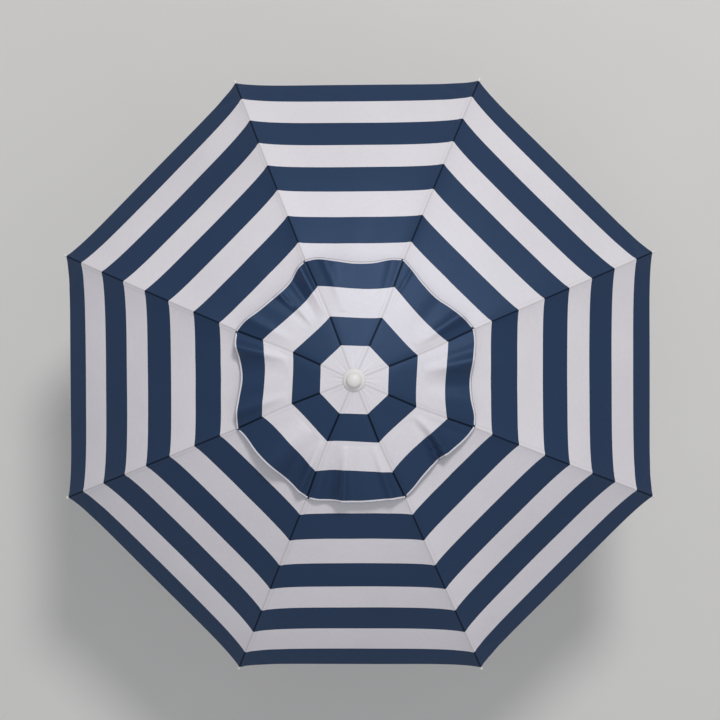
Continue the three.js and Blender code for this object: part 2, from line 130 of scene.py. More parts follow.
# Folds in the loose part of each vent gore: place across the gore at the hem, how far that moves
# for each metre inward, width across the gore, and height in mm, which is below 0 for a valley.
VENT_FOLDS = (
    ((0.19, 0.0, 0.065, 6.0), (0.42, 0.0, 0.12, -2.5), (0.87, 0.5, 0.025, 1.5)),
    ((0.10, 0.0, 0.06, -2.5), (0.70, 0.3, 0.12, 3.5), (0.83, -0.8, 0.04, 1.2)),
    ((0.085, 0.0, 0.045, 5.0), (0.23, 0.0, 0.06, -5.0), (0.435, -0.5, 0.022, 2.2), (0.50, -0.5, 0.05, -2.0),
     (0.82, 0.0, 0.07, 2.5)),
    ((0.165, 0.0, 0.07, 7.5), (0.38, 0.0, 0.11, -4.5), (0.82, 0.0, 0.075, 6.0)),
    ((0.46, 0.2, 0.14, 7.0), (0.73, 0.2, 0.10, -5.0), (0.90, 0.0, 0.045, 4.5)),
    ((0.20, 0.0, 0.08, -4.5), (0.37, 0.0, 0.055, 6.5), (0.62, 0.0, 0.14, 1.5), (0.87, 0.0, 0.05, 4.0)),
    ((0.50, 1.9, 0.05, -5.0), (0.60, 1.9, 0.05, 5.5), (0.88, 0.0, 0.05, -1.5)),
    ((0.44, 0.0, 0.11, -5.5), (0.68, 0.0, 0.08, 7.5), (0.86, 0.0, 0.06, 1.0)),
)
FOLD_SIZE = 2.3 * MM
VENT_EASE = 4.5 * MM          # the loose middle of each vent gore floats up by this much more
REST_GAP = 2.2 * MM           # a fold comes down no nearer to the main layer than this
PINCH = 1.3 * MM              # the vent's cloth swells up beside its seams by this much
PINCH_RUN = 9 * MM
PINCH_ARCS = (40 * MM, 90 * MM)
GATHER = 0.55 * MM            # small gathers at the vent's top
GATHER_RUN = 28 * MM
# The vent's stripes aren't quite square to its seams: how far out they stand, in mm, at the places
# across a gore, on a ring this far from the apex.
VENT_DRIFT = (5.0, 2.0, 0.0, 0.7, 2.5, 5.0, 6.5)
DRIFT_ARC = 205 * MM
VENT_TWIST = rad(-1.5)        # the vent's seams stand this far round from the ribs, near the middle
TWIST_ARC = 130 * MM          # the twist dies out from here to the hem

# Slack waves of the main layer: height in mm, half waves across a gore, turn along it, share of the
# gore's own phase, and the arc in metres where they are highest, with their reach.
RIPPLES = ((0.5, 6, 9, 1, 0.34, 0.07), (0.35, 4, -14, 2, 0.6, 0.12))
GORE_PHASE = 1.7
# Fine pull lines of the main layer, which fan out from each tip by the hem.
PULL_LINE = 0.45              # height in mm
PULL_LINE_PITCH = 60
PULL_LINE_LEAN = 3
PULL_LINE_ARCS = (660 * MM, 740 * MM)
PULL_LINE_SHARE = (0.08, 0.07)

# ---- Folding: settings for how each half gore shrinks across itself, towards its rib ----

FOLD_NORMAL = rad(22.25)      # a rib's chord leans this far from level
# On each rib the anticlockwise half laps outward over the next rib, and the other half tucks in
# behind it. They are keyed by layer and by side, with 1 for anticlockwise.
FOLDS = {
    ("main", 1): {"tilt": rad(-19), "keep": 0.33, "offset": 18 * MM},
    ("main", -1): {"tilt": rad(-8), "keep": 0.10, "offset": 6 * MM},
    ("vent", 1): {"tilt": rad(-27), "keep": 0.49, "offset": 26 * MM},
    ("vent", -1): {"tilt": rad(-6), "keep": 0.09, "offset": 12 * MM},
}

# ---- Camera and light ----

LENS, SENSOR = 75, 36         # in mm, as cameras state them
CAMERA_PLACE = (0.0970, 0.0992, 4.0075)
CAMERA_TILT = (rad(-1.125), rad(1.607), rad(-0.281))
LIGHT_AIM = Vector((0, 0, 0.85))
FLOOR_REACH = 60.0

# ---- The canopy's curve ----

CURVATURE = (HEM_SLOPE - CROWN_SLOPE) / HEM_ARC


def slope_at(arc):
    """How steep a rib is, at this distance from the apex along it."""
    return CROWN_SLOPE + CURVATURE * arc


def radius_at(arc):
    return (np.sin(slope_at(arc)) - math.sin(CROWN_SLOPE)) / CURVATURE


def height_at(arc):
    return APEX_HEIGHT - (math.cos(CROWN_SLOPE) - np.cos(slope_at(arc))) / CURVATURE


def on_rib(arc, lift):
    """Radius and height of a point in a rib's plane, at this arc and lifted square to the curve."""
    slope = slope_at(arc)
    return radius_at(arc) + lift * np.sin(slope), height_at(arc) + lift * np.cos(slope)


def rib_angle(number):
    """Azimuth of a rib, counted from 1."""
    return FIRST_RIB + 2 * HALF_GORE * (number - 1)


def smooth_through(x, places, values):
    """A smooth curve through a few points."""
    places, values = np.array(places, float), np.array(values, float)
    tangents = np.gradient(values, places)
    i = np.clip(np.searchsorted(places, x) - 1, 0, len(places) - 2)
    step = places[i + 1] - places[i]
    t = (x - places[i]) / step
    near = (2 * t**3 - 3 * t**2 + 1) * values[i] + (t**3 - 2 * t**2 + t) * step * tangents[i]
    far = (3 * t**2 - 2 * t**3) * values[i + 1] + (t**3 - t**2) * step * tangents[i + 1]
    return near + far


def soft_ramp(x, start, end):
    """Rises from 0 at the start to 1 at the end, level at both."""
    t = np.clip((x - start) / (end - start), 0, 1)
    return t * t * (3 - 2 * t)


def bell(x, middle, width):
    """1 at the middle, and near 0 from about two widths away."""
    return np.exp(-((x - middle) / width) ** 2)


def gore_axes(gore, arc):
    """Directions of one gore at each arc: down its middle, and out of its face."""
    azimuth = rib_angle(gore + 1) + HALF_GORE
    slope = np.arctan(np.tan(slope_at(arc)) / math.cos(HALF_GORE))
    outward = np.stack([np.cos(slope) * math.cos(azimuth), np.cos(slope) * math.sin(azimuth),
                        -np.sin(slope)], -1)
    normal = np.stack([np.sin(slope) * math.cos(azimuth), np.sin(slope) * math.sin(azimuth),
                       np.cos(slope)], -1)
    return outward, normal


def base_surface(gore, share, arc):
    """Points of the tight cloth, at this share of the way from rib `gore` to the next, and its normals."""
    radius, height = radius_at(arc), height_at(arc)
    first, second = rib_angle(gore + 1), rib_angle(gore + 2)
    start = np.stack([radius * math.cos(first), radius * math.sin(first), height], -1)
    end = np.stack([radius * math.cos(second), radius * math.sin(second), height], -1)
    points = start + (end - start) * share[..., None]
    slope = slope_at(arc)
    to_rib = np.abs(2 * share - 1)[..., None]
    azimuth = np.where(share < 0.5, first, second)
    at_rib = np.stack([np.sin(slope) * np.cos(azimuth), np.sin(slope) * np.sin(azimuth),
                       np.cos(slope)], -1)
    normals = gore_axes(gore, arc)[1] * (1 - to_rib) + at_rib * to_rib
    normals /= np.linalg.norm(normals, axis=-1, keepdims=True)
    return points, normals


def stripe_drift(share, arc):
    """How far out a stripe of the vent stands."""
    return smooth_through(share, GORE_PLACES, VENT_DRIFT) * MM * (arc / DRIFT_ARC) ** 2


def between_ribs(share, arc):
    """The gore's width, shaped so that it leaves both ribs steeply and is level between."""
    width = 2 * radius_at(arc) * math.sin(HALF_GORE)
    return width * (1 - np.exp(-share / SAG_RUN)) * (1 - np.exp((share - 1) / SAG_RUN))


def main_surface(gore, share, arc):
    """Points of the main layer: it dips between the ribs, and is a little slack."""
    points, normals = base_surface(gore, share, arc)
    phase = GORE_PHASE * gore
    between = np.sin(math.pi * share)
    ripple = sum(height * np.sin(waves * math.pi * share + turn * arc + own * phase)
                 * bell(arc, middle, reach) for height, waves, turn, own, middle, reach in RIPPLES)
    pull = PULL_LINE * np.sin(PULL_LINE_PITCH * (share + PULL_LINE_LEAN * (HEM_ARC - arc)) + phase)
    pull *= bell(share, *PULL_LINE_SHARE) * soft_ramp(arc, *PULL_LINE_ARCS)
    lift = -MAIN_SAG * between_ribs(share, arc) + (ripple * between**2 + pull) * MM
    spread = HEM_SPREAD * between * soft_ramp(arc, HEM_SPREAD_START, HEM_ARC)
    return points + normals * lift[..., None] + gore_axes(gore, arc)[0] * spread[..., None]


def vent_surface(gore, share, arc):
    """Points of the vent layer, which is pulled in, folded and slightly twisted by its hem."""
    points, normals = base_surface(gore, share, arc)
    outward, face = gore_axes(gore, arc)
    grown = np.clip((arc - PULL_START_ARC) / (VENT_HEM_ARC - PULL_START_ARC), 0, 1) ** PULL_GROWTH
    pull = smooth_through(share, GORE_PLACES, HEM_PULL[gore]) * MM * grown
    gathers = np.sin(6 * math.pi * share + gore) * np.sin(math.pi * share)
    gathers = GATHER * gathers * np.exp(-(arc - VENT_START_ARC) / GATHER_RUN)
    loose = np.clip((arc - FOLD_START_ARC) / (VENT_HEM_ARC - FOLD_START_ARC), 0, 1) ** FOLD_GROWTH
    ends = np.clip(np.minimum(share, 1 - share) / FOLD_END, 0, 1)
    folds = sum(height * bell(share - lean * (VENT_HEM_ARC - arc), place, width)
                for place, lean, width, height in VENT_FOLDS[gore])
    to_seam = 2 * radius_at(arc) * math.sin(HALF_GORE) * np.minimum(share, 1 - share)
    swell = PINCH * (1 - np.exp(-to_seam / PINCH_RUN)) * soft_ramp(arc, *PINCH_ARCS)
    lift = VENT_LIFT + VENT_RISE * between_ribs(share, arc) + gathers + swell
    # The loose cloth stands straight up from there, but a valley can't sink into the main layer.
    rise = (FOLD_SIZE * folds * ends + VENT_EASE * np.sin(math.pi * share)) * loose
    lowest = PULL_DEPTH * pull + REST_GAP - MAIN_SAG * between_ribs(share, arc) - lift
    rise = lowest + REST_GAP * np.logaddexp(0, (rise - lowest) / REST_GAP)
    points = points + normals * lift[..., None] - outward * pull[..., None]
    points = points + np.stack([0 * rise, 0 * rise, rise], -1)
    points = points - face * (PULL_DEPTH * pull)[..., None]
    twist = VENT_TWIST * (1 - soft_ramp(arc, TWIST_ARC, VENT_HEM_ARC))
    x = points[..., 0] * np.cos(twist) - points[..., 1] * np.sin(twist)
    y = points[..., 0] * np.sin(twist) + points[..., 1] * np.cos(twist)
    return np.stack([x, y, points[..., 2]], -1)


# ---- Mesh helpers ----


def make_object(name, vertices, faces, uvs=None, corner_normals=None, smooth=True):
    """A mesh object. UVs are given for each vertex, and normals for each face's corner."""
    mesh = bpy.data.meshes.new(name)
    mesh.from_pydata([tuple(v) for v in vertices], [], faces)
    if uvs is not None:
        layer = mesh.uv_layers.new(name="Cloth")
        corner = np.array([uvs[v] for f in faces for v in f], np.float32)
        layer.data.foreach_set("uv", corner.ravel())
    mesh.polygons.foreach_set("use_smooth", [smooth] * len(mesh.polygons))
    if corner_normals is not None:
        mesh.normals_split_custom_set([tuple(n) for n in corner_normals])
    mesh.update()
    obj = bpy.data.objects.new(name, mesh)
    bpy.context.scene.collection.objects.link(obj)
    return obj


def cloth_grid(name, points, uv, top, bottom):
    """A closed sheet round a grid of points: `top` above and `bottom` below it, each a grid too."""
    rows, columns = points.shape[:2]
    down = np.gradient(points, axis=0)
    across = np.gradient(points, axis=1)
    normals = np.cross(across, down)
    normals /= np.linalg.norm(normals, axis=-1, keepdims=True)
    if normals[rows // 2, columns // 2, 2] < 0:
        normals = -normals
    return shell(name, points, normals, uv, top, bottom)


def shell(name, points, normals, uv, top, bottom):
    """The same, where the directions out of the sheet are known."""
    rows, columns = points.shape[:2]
    size = rows * columns
    vertices = np.concatenate([
        (points + normals * top[..., None]).reshape(-1, 3),
        (points - normals * bottom[..., None]).reshape(-1, 3)])
    flat_uv = np.tile(uv.reshape(-1, 2), (2, 1))
    flat_normals = normals.reshape(-1, 3)
    faces, corner_normals = [], []
    index = np.arange(size).reshape(rows, columns).tolist()
    probe = np.cross(vertices[index[1][0]] - vertices[0], vertices[index[1][1]] - vertices[0])
    turn = 1 if probe @ flat_normals[0] > 0 else -1
    for row in range(rows - 1):
        for column in range(columns - 1):
            ring = [index[row][column], index[row + 1][column],
                    index[row + 1][column + 1], index[row][column + 1]][::turn]
            faces.append(ring)
            corner_normals += [flat_normals[v] for v in ring]
            under = [v + size for v in reversed(ring)]
            faces.append(under)
            corner_normals += [-flat_normals[v - size] for v in under]
    rim = index[0][:-1] + [row[-1] for row in index[:-1]]
    rim += index[-1][:0:-1] + [row[0] for row in index[:0:-1]]
    for here, there in zip(rim, rim[1:] + rim[:1]):
        outward = np.cross(vertices[there] - vertices[here], vertices[here + size] - vertices[here])
        outward /= max(np.linalg.norm(outward), 1e-12)
        faces.append([here, there, there + size, here + size][::turn])
        corner_normals += [outward * turn] * 4
    return make_object(name, vertices, faces, flat_uv, corner_normals)


def revolved(name, profile, segments=96, uvs=False, smooth_angle=rad(35)):
    """A solid of revolution about Z from (radius, height) pairs, closed on the axis or on itself."""
    vertices, faces, rings = [], [], []
    turns = [2 * math.pi * i / segments for i in range(segments)]
    for radius, height in profile:
        if radius < 1e-7:
            rings.append([len(vertices)] * segments)
            vertices.append((0, 0, height))
        else:
            rings.append(list(range(len(vertices), len(vertices) + segments)))
            vertices += [(radius * math.cos(t), radius * math.sin(t), height) for t in turns]
    pairs = list(zip(rings, rings[1:]))
    if profile[0][0] >= 1e-7:
        pairs.append((rings[-1], rings[0]))
    for low, high in pairs:
        for i in range(segments):
            j = (i + 1) % segments
            ring = list(dict.fromkeys([low[i], low[j], high[j], high[i]]))
            if len(ring) > 2:
                faces.append(ring)
    uv = None
    if uvs:
        uv = [(BEYOND_SEAM, math.hypot(*vertex[:2])) for vertex in vertices]
    return solid(name, vertices, faces, smooth_angle, uv)


def solid(name, vertices, faces, smooth_angle=None, uvs=None):
    """A closed mesh that faces outward. Edges over the angle stay sharp, or all faces are flat."""
    obj = make_object(name, vertices, faces, uvs, smooth=smooth_angle is not None)
    work = bmesh.new()
    work.from_mesh(obj.data)
    bmesh.ops.recalc_face_normals(work, faces=work.faces)
    work.to_mesh(obj.data)
    work.free()
    if smooth_angle is not None:
        obj.data.set_sharp_from_angle(angle=smooth_angle)
    return obj


def tube_faces(rings, sides):
    """Faces of a tube whose vertices come ring by ring, with both ends closed."""
    faces = []
    for start in range(0, (rings - 1) * sides, sides):
        for i in range(sides):
            j = (i + 1) % sides
            faces.append([start + i, start + j, start + sides + j, start + sides + i])
    last = (rings - 1) * sides
    return faces + [list(range(sides))[::-1], list(range(last, last + sides))]


def rounded(profile, radius, steps=4):
    """The same outline with every corner between its two ends rounded off."""
    out = [profile[0]]
    for before, corner, after in zip(profile, profile[1:], profile[2:]):
        a, b, c = Vector(before), Vector(corner), Vector(after)
        cut = min(radius, 0.45 * (a - b).length, 0.45 * (c - b).length)
        start, end = b + (a - b).normalized() * cut, b + (c - b).normalized() * cut
        for i in range(steps + 1):
            t = i / steps
            out.append(tuple(start * (1 - t) ** 2 + b * 2 * t * (1 - t) + end * t * t))
    return out + [profile[-1]]


def rod(name, path, side, radius, sides=16):
    """A round rod along a path that lies in the plane square to `side`."""
    path, side = np.array(path, float), np.array(side, float)
    tangents = np.gradient(path, axis=0)
    tangents /= np.linalg.norm(tangents, axis=1, keepdims=True)
    turns = [2 * math.pi * i / sides for i in range(sides)]
    vertices = [point + (side * math.cos(t) + np.cross(side, tangent) * math.sin(t)) * radius
                for point, tangent in zip(path, tangents) for t in turns]
    return solid(name, vertices, tube_faces(len(path), sides), rad(40))


def cut_out(obj, cutters):
    """Cuts each cutter out of obj, and removes the cutters."""
    for cutter in cutters:
        modifier = obj.modifiers.new("cut", "BOOLEAN")
        modifier.operation = "DIFFERENCE"
        modifier.solver = "EXACT"
        modifier.object = cutter
    bpy.context.view_layer.update()
    depsgraph = bpy.context.evaluated_depsgraph_get()
    result = bpy.data.meshes.new_from_object(obj.evaluated_get(depsgraph))
    obj.modifiers.clear()
    obj.data = result
    obj.data.set_sharp_from_angle(angle=rad(35))
    for cutter in cutters:
        bpy.data.objects.remove(cutter)


def box_cutter(low, high, turn=0.0):
    """A box between two corners, turned about Z."""
    corners = [(x, y, z) for x in (low[0], high[0]) for y in (low[1], high[1]) for z in (low[2], high[2])]
    rotation = Matrix.Rotation(turn, 3, "Z")
    vertices = [rotation @ Vector(c) for c in corners]
    faces = [[0, 1, 3, 2], [4, 6, 7, 5], [0, 4, 5, 1], [2, 3, 7, 6], [0, 2, 6, 4], [1, 5, 7, 3]]
    return solid("cutter", vertices, faces)


# ---- Materials ----


class Nodes:
    """A material's nodes, added one at a time."""

    def __init__(self, name):
        self.material = bpy.data.materials.new(name)
        self.material.use_nodes = True
        self.tree = self.material.node_tree
        self.tree.nodes.clear()
        self.output = self.tree.nodes.new("ShaderNodeOutputMaterial")
        self.shader = self.tree.nodes.new("ShaderNodeBsdfPrincipled")
        self.tree.links.new(self.shader.outputs[0], self.output.inputs["Surface"])

    def put(self, socket, value):
        if isinstance(value, bpy.types.NodeSocket):
            self.tree.links.new(value, socket)
        else:
            socket.default_value = value

    def node(self, kind, inputs=(), **settings):
        made = self.tree.nodes.new("ShaderNode" + kind)
        for key, value in settings.items():
            setattr(made, key, value)
        for key, value in dict(inputs).items():
            self.put(made.inputs[key], value)
        return made

    def math(self, operation, *values):
        made = self.node("Math", operation=operation)
        for i, value in enumerate(values):
            self.put(made.inputs[i], value)
        return made.outputs[0]

    def range(self, value, low, high, to_low=0.0, to_high=1.0, smooth=True):
        made = self.node("MapRange", {"Value": value, "From Min": low, "From Max": high,
                                      "To Min": to_low, "To Max": to_high})
        made.interpolation_type = "SMOOTHSTEP" if smooth else "LINEAR"
        return made.outputs[0]

    def mix(self, share, first, second, blend="MIX"):
        made = self.tree.nodes.new("ShaderNodeMix")
        made.data_type = "RGBA"
        made.blend_type = blend
        self.put(made.inputs[0], share)
        self.put(made.inputs[6], first)
        self.put(made.inputs[7], second)
        return made.outputs[2]

    def noise(self, scale, detail=2.0, vector=None, roughness=0.5):
        inputs = {"Scale": scale, "Detail": detail, "Roughness": roughness,
                  "Vector": self.place() if vector is None else vector}
        return self.node("TexNoise", inputs).outputs["Fac"]

    def place(self):
        return self.node("TexCoord").outputs["Object"]

    def scaled(self, vector, scale):
        return self.node("Mapping", {"Vector": vector, "Scale": scale}).outputs[0]

    def uneven(self, low, high, *noise, **settings):
        """Noise, stretched so that it mostly runs from low to high."""
        return self.range(self.noise(*noise, **settings), 0.3, 0.7, low, high, smooth=False)

    def toned(self, color, tone):
        """The color, darker or lighter by a tone near 1."""
        grey = self.node("CombineColor", {0: tone, 1: tone, 2: tone}).outputs[0]
        return self.mix(1.0, color, grey, "MULTIPLY")

    def dashes(self, distance, along):
        """A row of stitches, at a distance of 0 from a line."""
        on_row = self.range(self.math("ABSOLUTE", distance), 0.3 * MM, 0.6 * MM, 1.0, 0.0)
        return self.math("MULTIPLY", on_row,
                         self.range(self.math("PINGPONG", along, STITCH), 0.35 * MM, 0.6 * MM))

    def bump(self, height, distance, strength=1.0, normal=None):
        inputs = {"Height": height, "Distance": distance, "Strength": strength}
        if normal is not None:
            inputs["Normal"] = normal
        return self.node("Bump", inputs).outputs[0]

    def finish(self, color, roughness, normal, **others):
        self.put(self.shader.inputs["Base Color"], color)
        self.put(self.shader.inputs["Roughness"], roughness)
        self.put(self.shader.inputs["Normal"], normal)
        for key, value in others.items():
            self.put(self.shader.inputs[key.replace("_", " ")], value)
        return self.material


NAVY = (0.0145, 0.0325, 0.0785, 1)
WHITE = (0.785, 0.752, 0.785, 1)
TAPE_WHITE = (0.72, 0.70, 0.75, 1)
# The binding tape's outer edge is painted this grey as shade.
TAPE_EDGE_SHADE = (0.30, 0.30, 0.36, 1)


def cloth_material(name, first_boundary, end_arc, groove_edge, navy_groove_shade, extra_rows=()):
    """Woven stripes that change at fixed distances from the apex, with seams, stitches and a weave.

    U is the distance from the rib's seam and V the distance from the apex, in metres. The seam's groove is
    painted darker as shade out to groove_edge: it keeps the share navy_groove_shade of the light on the
    navy stripes, and less shade on the white."""
    n = Nodes(name)
    uv = n.node("UVMap", uv_map="Cloth").outputs[0]
    parts = n.node("SeparateXYZ", {0: uv}).outputs
    u, v = parts[0], parts[1]
    frayed = n.math("MULTIPLY", n.math("SUBTRACT", n.noise(1500.0, 0.0, uv), 0.5), 0.9 * MM)
    ramp = n.node("ValToRGB", {"Fac": n.math("ADD", v, frayed)})
    ramp.color_ramp.interpolation = "CONSTANT"
    elements = ramp.color_ramp.elements
    elements[0].position, elements[0].color = 0.0, WHITE
    boundary, color = first_boundary, NAVY
    elements[1].position, elements[1].color = boundary, color
    while boundary + STRIPE < end_arc - 20 * MM:
        boundary += STRIPE
        color = WHITE if color == NAVY else NAVY
        elements.new(boundary).color = color
    stripes = ramp.outputs[0]

    cloud = n.uneven(0.955, 1.03, 5.0, 3.0)
    slub = n.uneven(0.95, 1.04, 1.0, 2.0, n.scaled(uv, (60.0, 1700.0, 1.0)))
    fleck = n.uneven(0.965, 1.03, 1.0, 2.0, n.scaled(uv, (1500.0, 90.0, 1.0)))
    base = n.toned(stripes, n.math("MULTIPLY", n.math("MULTIPLY", cloud, slub), fleck))

    # Painted shade in the seam's groove: the colour darkens there, strongly on navy and faintly on white.
    bright = n.node("SeparateColor", {0: stripes}).outputs[0]
    groove_shade_tone = n.range(bright, NAVY[0], WHITE[0], navy_groove_shade, 0.86, smooth=False)
    in_groove = n.range(n.math("ABSOLUTE", u), 0.4 * groove_edge, groove_edge, 1.0, 0.0)
    groove = n.math("ADD", n.math("MULTIPLY", in_groove, groove_shade_tone), n.math("SUBTRACT", 1.0, in_groove))
    stitch = n.dashes(n.math("SUBTRACT", u, STITCH_ROW), v)
    for arc in extra_rows:
        stitch = n.math("MAXIMUM", stitch, n.dashes(n.math("SUBTRACT", v, arc), u))
    base = n.toned(base, n.math("MULTIPLY", groove, n.range(stitch, 0.0, 1.0, 1.0, 0.82, smooth=False)))

    warp, weft = (n.math("SINE", n.math("MULTIPLY", x, 2 * math.pi / WEAVE)) for x in (u, v))
    normal = n.bump(n.math("MULTIPLY", warp, weft), 0.06 * MM, 0.6)
    normal = n.bump(n.noise(55.0, 3.0, roughness=0.6), 1.2 * MM, 0.25, normal)
    normal = n.bump(n.math("SUBTRACT", 1.0, stitch), 0.3 * MM, 0.5, normal)
    gloss = n.range(in_groove, 0.0, 1.0, 0.66, 0.2, smooth=False)
    return n.finish(base, n.uneven(0.44, 0.52, 300.0), normal, Specular_IOR_Level=gloss,
                    Specular_Tint=(0.42, 0.62, 1.0, 1))


def thread_material(name, color):
    n = Nodes(name)
    base = n.toned(color, n.uneven(0.93, 1.04, 400.0))
    ribbing = n.bump(n.noise(1400.0, 1.0), 0.2 * MM, 0.5)
    return n.finish(base, 0.85, ribbing, Sheen_Weight=0.12, Specular_IOR_Level=0.25)


def binding_material(name):
    """White tape whose outer edge is painted grey as shade. V runs across the tape, from 0 inside to 1 at
    the edge.
    """
    n = Nodes(name)
    across = n.node("SeparateXYZ", {0: n.node("UVMap", uv_map="Cloth").outputs[0]}).outputs[1]
    # Painted shade: the outer part of the tape turns grey.
    base = n.mix(n.range(across, 0.66, 0.74), TAPE_WHITE, TAPE_EDGE_SHADE)
    base = n.toned(base, n.uneven(0.9, 1.05, 500.0))
    return n.finish(base, 0.8, n.bump(n.noise(1400.0, 1.0), 0.2 * MM, 0.5), Specular_IOR_Level=0.25)


def plastic_material(name, color):
    """Moulded plastic, with a fine grain and a few scuffs."""
    n = Nodes(name)
    scuff = n.range(n.noise(160.0, 4.0, roughness=0.7), 0.62, 0.72, 1.0, 0.955)
    base = n.toned(color, n.math("MULTIPLY", n.uneven(0.965, 1.02, 9.0, 3.0), scuff))
    grain = n.bump(n.noise(2600.0), 0.04 * MM, 0.4)
    return n.finish(base, n.uneven(0.36, 0.52, 70.0, 3.0), grain, Specular_IOR_Level=0.45)


def paint_material(name, color):
    """Powder coat, worn to bare metal on its edges."""
    n = Nodes(name)
    worn = n.range(n.node("NewGeometry").outputs["Pointiness"], 0.53, 0.58, 0.0, 0.55)
    base = n.toned(n.mix(worn, color, (0.55, 0.55, 0.56, 1)), n.uneven(0.96, 1.02, 25.0, 3.0))
    peel = n.bump(n.noise(700.0), 0.08 * MM, 0.35)
    return n.finish(base, n.uneven(0.26, 0.42, 90.0), peel, Coat_Weight=0.15)


def steel_material(name):
    """Steel, brushed along Z."""
    n = Nodes(name)
    brushed = n.noise(1.0, 3.0, n.scaled(n.place(), (900.0, 900.0, 60.0)))
    base = n.toned((1, 1, 1, 1), n.range(brushed, 0.3, 0.7, 0.5, 0.66, smooth=False))
    return n.finish(base, n.uneven(0.24, 0.42, 120.0, 3.0), n.bump(brushed, 0.05 * MM, 0.4), Metallic=1.0)


def grip_material(name, color):
    """Foam with small open pores."""
    n = Nodes(name)
    base = n.toned(color, n.uneven(0.85, 1.15, 30.0, 3.0))
    pores = n.node("TexVoronoi", {"Vector": n.place(), "Scale": 900.0}).outputs["Distance"]
    return n.finish(base, n.uneven(0.68, 0.85, 60.0), n.bump(pores, 0.3 * MM, 0.5),
                    Sheen_Weight=0.08, Specular_IOR_Level=0.3)


MATERIALS = {
    "main_cloth": cloth_material("woven_stripe_main", MAIN_FIRST_STRIPE, HEM_ARC, 2.2 * MM, 0.38,
                                 (HEM_ARC - HEM_FOLD,)),
    "vent_cloth": cloth_material("woven_stripe_vent", VENT_FIRST_STRIPE, VENT_HEM_ARC, 3.4 * MM, 0.22),
    "binding": binding_material("binding_tape"),
    "thread": thread_material("tie_thread", (0.04, 0.06, 0.11, 1)),
    "white_plastic": plastic_material("moulded_white", (0.80, 0.785, 0.775, 1)),
    "white_paint": paint_material("white_powder_coat", (0.78, 0.775, 0.76, 1)),
    "steel": steel_material("brushed_steel"),
    "navy_grip": grip_material("soft_grip", (0.020, 0.032, 0.068, 1)),
}


def finished(obj, body, slot, material=None, replaces=()):
    """Gives a piece the material named by its slot, or by `material` if that is given, and joins it to its
    body.
    """
    obj.data.materials.clear()
    obj.data.materials.append(MATERIALS[material or slot])
    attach(obj, body)
    if replaces:
        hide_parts(*replaces)


# ---- Canopy ----

ROWS = 56                     # of a layer's mesh, along a rib
HALF_COLUMNS = 18             # of it, across half a gore


def half_shares(side):
    """Places across a gore from a rib to the middle, closer together by the rib."""
    t = np.linspace(0, 1, HALF_COLUMNS)
    near_rib = 0.5 * t**1.7
    return near_rib if side > 0 else (1 - near_rib)[::-1]


def fold_away(obj):
    """Gives a half gore its own copy of its mesh."""
    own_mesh(obj)


def half_rib(gore, side):
    """The number of the rib that a half gore hangs on."""
    return gore + 1 if side > 0 else (gore + 1) % RIB_COUNT + 1


def layer_gore(layer, surface, gore, start, end):
    """The two halves of one gore, each on its own rib."""
    for side in (1, -1):
        number = half_rib(gore, side)
        share, arc = np.meshgrid(half_shares(side), np.linspace(start, end, ROWS))
        points = surface(gore, share, arc)
        # Directions come from the surface itself, so that two halves shade as one sheet.
        step = 1e-4
        ahead, behind = np.clip(share + step, 0, 1), np.clip(share - step, 0, 1)
        across = surface(gore, ahead, arc) - surface(gore, behind, arc)
        down = surface(gore, share, arc + step) - surface(gore, share, arc - step)
        normals = np.cross(down, across)
        normals /= np.linalg.norm(normals, axis=-1, keepdims=True)
        normals *= np.sign(normals[..., 2:3])
        width = 2 * radius_at(arc) * math.sin(HALF_GORE)
        distance = np.where(side > 0, share, 1 - share) * width
        stripe_arc = arc
        if layer == "vent":
            stripe_arc = arc - stripe_drift(share, arc)
        uv = np.stack([side * distance, stripe_arc], -1)
        top = np.full(arc.shape, CLOTH / 2)
        bottom = top.copy()
        if layer == "main":
            bottom += HEM_THICKER * soft_ramp(arc, HEM_ARC - HEM_FOLD - 1 * MM, HEM_ARC - HEM_FOLD)
        name = f"{layer}_cloth_{number}_{'a' if side > 0 else 'b'}"
        cloth = shell(name, points, normals, uv, top, bottom)
        finished(cloth, f"rib_{number}", f"{layer}_cloth", replaces=[f"{layer}_panel_{number}"])
        fold_away(cloth)


# A seam's two folded layers, across it: a groove between two soft ridges. Each point has its
# distance from the groove and its height over the cloth, in mm.
SEAM_PROFILE = (
    (-6.5, 0.32), (-6.0, 0.62), (-3.5, 0.72), (-1.5, 0.72), (-0.7, 0.4), (0, 0.02), (0.7, 0.55),
    (1.4, 0.95), (4.5, 0.98), (7.8, 0.78), (8.5, 0.72), (9.0, 0.32),
)
SEAM_REACH = 9 * MM
SEAM_UNDER = 0.55 * MM        # it sinks into the cloth by this much


def seam(layer, surface, number, start, end):
    """The felled seam over one rib, which carries both neighbouring gores."""
    points, uvs, tops = [], [], []
    for arc in np.linspace(start, end, ROWS):
        half_width = radius_at(arc) * math.sin(HALF_GORE)
        narrow = min(1.0, 0.55 * half_width / SEAM_REACH)
        for offset, height in SEAM_PROFILE:
            along = offset * MM * narrow
            gore, share = number - 1, along / (2 * half_width)
            if offset < 0:
                gore, share = (number - 2) % RIB_COUNT, 1 + share
            place = np.array([share]), np.array([arc])
            drift = float(stripe_drift(*place)[0]) if layer == "vent" else 0
            points.append(surface(gore, *place)[0])
            uvs.append((along, arc - drift))
            tops.append(height * MM)
    points, uvs = (np.array(x).reshape(ROWS, len(SEAM_PROFILE), -1) for x in (points, uvs))
    tops = np.array(tops).reshape(points.shape[:2])
    strip = cloth_grid(f"{layer}_seam_{number}", points, uvs, tops, np.full(tops.shape, SEAM_UNDER))
    finished(strip, f"rib_{number}", f"{layer}_cloth")


